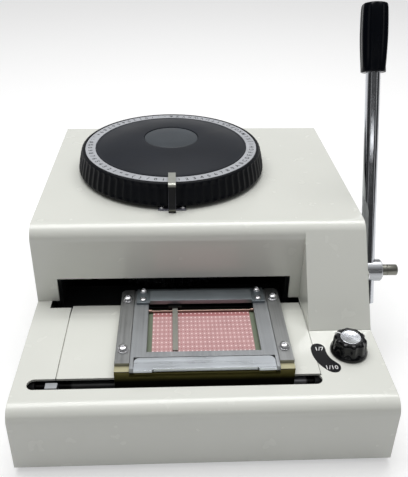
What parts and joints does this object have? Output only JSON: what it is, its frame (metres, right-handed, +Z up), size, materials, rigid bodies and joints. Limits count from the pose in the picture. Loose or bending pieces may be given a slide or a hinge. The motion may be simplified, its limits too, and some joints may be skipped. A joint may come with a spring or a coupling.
{
  "type": "plastic card embosser",
  "caption": "Manual table-top embosser for plastic cards: type dial on a steel head, sliding card carriage in front, pull lever at the right side, spacing selector on the deck.",
  "frame": {"origin": "centre of the base plate's underside, 5 mm above the surface the rubber feet stand on", "axes": "+X to the lever side, +Y from the front apron to the back, +Z up"},
  "size_m": [0.3477, 0.378, 0.3141],
  "materials": {
    "casing_paint": "warm off-white gloss enamel",
    "inner_steel": "dark grey primer",
    "plated_steel": "dull zinc plate",
    "bright_steel": "ground, bright",
    "screw_steel": "bright nickel plate",
    "bronze": "sintered bronze, oiled",
    "arm_steel": "brushed along its length",
    "frame_steel": "brushed along its length",
    "crossbar_steel": "dark brushed",
    "clamp_steel": "light brushed",
    "zinc_tray": "yellow zinc chromate",
    "bed_paint": "dark green-grey",
    "sheet_pink": "printed guide sheet",
    "dark_steel": "blackened",
    "pointer_steel": "dull strip steel",
    "dial_pointer_steel": "polished",
    "rubber_black": "moulded",
    "rim_black": "moulded",
    "knob_black": "moulded",
    "grip_black": "moulded",
    "ring_silver": "satin with dark characters",
    "dial_dark": "matt dark face",
    "badge_dark": "matt, bare",
    "label_black": "black label with plain figures",
    "cap_aluminium": "spun",
    "hub_aluminium": "satin",
    "chrome_rod": "polished"
  },
  "bodies": {
    "machine_base": {"base_plate": "plated_steel", "rubber_feet": "rubber_black", "base_casing": "casing_paint", "deck_plate": "casing_paint", "head_cover": "casing_paint", "casing_screws": "screw_steel", "side_frames": "inner_steel", "top_plate": "inner_steel", "lower_plate": "inner_steel", "frame_screws": "dark_steel", "bronze_bushes": "bronze", "carriage_rails": "bright_steel", "rail_brackets": "inner_steel", "stop_rail": "plated_steel", "lever_plate": "casing_paint", "lever_pedestal": "inner_steel", "rocker_pins": "bright_steel", "dial_pointer": "dial_pointer_steel", "pitch_label": "label_black"},
    "type_wheel": {"dial_rim": "rim_black", "scale_ring": "ring_silver", "dial_face": "dial_dark", "dial_badge": "badge_dark", "wheel_shaft": "bright_steel", "punch_wheel": "bright_steel", "die_wheel": "bright_steel", "punch_pins": "bright_steel", "die_pins": "bright_steel"},
    "punch_at_strike": {"struck_punch": "bright_steel"},
    "die_at_strike": {"struck_die": "bright_steel"},
    "detent": {"detent_plunger": "bright_steel"},
    "lever": {"lever_shaft": "bright_steel", "lever_hub": "hub_aluminium", "lever_rod": "chrome_rod", "lever_grip": "grip_black", "press_cams": "dark_steel"},
    "top_rocker": {"upper_rocker": "dark_steel"},
    "bottom_rocker": {"lower_rocker": "dark_steel"},
    "ram": {"press_ram": "bright_steel"},
    "anvil": {"press_anvil": "bright_steel"},
    "carriage": {"carriage_tray": "zinc_tray", "carriage_arms": "arm_steel", "arm_screws": "screw_steel", "rail_blocks": "bronze", "spacing_rack": "plated_steel"},
    "card_holder": {"card_frame": "frame_steel", "crossbar": "crossbar_steel", "crossbar_screws": "screw_steel", "card_bed": "bed_paint", "grid_sheet": "sheet_pink", "rear_rod": "bright_steel", "pointer_rail": "dark_steel"},
    "pointer": {"line_pointer": "pointer_steel"},
    "clamp": {"clamp_bar": "clamp_steel"},
    "jaw": {"card_jaw": "dark_steel"},
    "stop": {"margin_stop": "plated_steel"},
    "selector": {"selector_knob": "knob_black", "knob_cap": "cap_aluminium", "selector_shaft": "bright_steel"},
    "pawl": {"spacing_pawl": "plated_steel"}
  },
  "joints": [
    {"name": "wheel_spin", "type": "hinge", "parent": "machine_base", "child": "type_wheel", "pos_m": [-0.0248, 0.0762, 0.15], "axis": [0, 0, 1], "continuous": true},
    {"name": "lever_pull", "type": "hinge", "parent": "machine_base", "child": "lever", "pos_m": [0.166, -0.027, 0.0715], "axis": [1, 0, 0], "range_deg": [0, 75], "stiffness_Nm_per_rad": 1, "springref_deg": -34.38},
    {"name": "ram_stroke", "type": "slide", "parent": "machine_base", "child": "ram", "axis": [0, 0, -1], "range_m": [0, 0.0026]},
    {"name": "anvil_stroke", "type": "slide", "parent": "machine_base", "child": "anvil", "axis": [0, 0, 1], "range_m": [0, 0.0022]},
    {"name": "punch_stroke", "type": "slide", "parent": "type_wheel", "child": "punch_at_strike", "axis": [0, 0, -1], "range_m": [0, 0.0026]},
    {"name": "die_stroke", "type": "slide", "parent": "type_wheel", "child": "die_at_strike", "axis": [0, 0, 1], "range_m": [0, 0.0022]},
    {"name": "top_rock", "type": "hinge", "parent": "machine_base", "child": "top_rocker", "pos_m": [0.06, -0.027, 0.125], "axis": [0, -1, 0], "range_deg": [0, 1.76]},
    {"name": "bottom_rock", "type": "hinge", "parent": "machine_base", "child": "bottom_rocker", "pos_m": [0.06, -0.027, 0.012], "axis": [0, 1, 0], "range_deg": [0, 1.49]},
    {"name": "pawl_lift", "type": "hinge", "parent": "machine_base", "child": "pawl", "pos_m": [0, -0.141, 0.034], "axis": [0, -1, 0], "range_deg": [0, 3.5]},
    {"name": "carriage_slide", "type": "slide", "parent": "machine_base", "child": "carriage", "axis": [1, 0, 0], "range_m": [-0.0616, 0.0145]},
    {"name": "card_load", "type": "slide", "parent": "carriage", "child": "card_holder", "axis": [0, 1, 0], "range_m": [0, 0.027]},
    {"name": "pointer_hold", "type": "slide", "parent": "card_holder", "child": "pointer", "axis": [1, 0, 0], "range_m": [-0.0146, 0.0617]},
    {"name": "clamp_open", "type": "hinge", "parent": "card_holder", "child": "clamp", "pos_m": [0.0009, -0.1545, 0.0686], "axis": [1, 0, 0], "range_deg": [0, 25], "stiffness_Nm_per_rad": 0.1, "springref_deg": -28.65},
    {"name": "jaw_drop", "type": "slide", "parent": "card_holder", "child": "jaw", "axis": [0, 0, -1], "range_m": [0, 0.001], "stiffness_N_per_m": 300, "springref_m": -0.001},
    {"name": "stop_slide", "type": "slide", "parent": "machine_base", "child": "stop", "axis": [1, 0, 0], "range_m": [-0.009, 0.06]},
    {"name": "spacing_turn", "type": "hinge", "parent": "machine_base", "child": "selector", "pos_m": [0.1234, -0.1282, 0.06], "axis": [0, 0, 1], "range_deg": [0, 58]},
    {"name": "detent_slide", "type": "slide", "parent": "machine_base", "child": "detent", "axis": [1, 0, 0], "range_m": [0, 0.0012], "stiffness_N_per_m": 1500, "springref_m": -0.001}
  ],
  "couplings": [
    {"joint": "ram_stroke", "follows": "lever_pull", "m_per_rad": 0.0019862},
    {"joint": "anvil_stroke", "follows": "lever_pull", "m_per_rad": 0.0016806},
    {"joint": "punch_stroke", "follows": "lever_pull", "m_per_rad": 0.0019862},
    {"joint": "die_stroke", "follows": "lever_pull", "m_per_rad": 0.0016806},
    {"joint": "top_rock", "follows": "lever_pull", "ratio": 0.023422},
    {"joint": "bottom_rock", "follows": "lever_pull", "ratio": 0.019819},
    {"joint": "pawl_lift", "follows": "lever_pull", "ratio": 0.04666},
    {"joint": "pointer_hold", "follows": "carriage_slide", "ratio": -1}
  ]
}
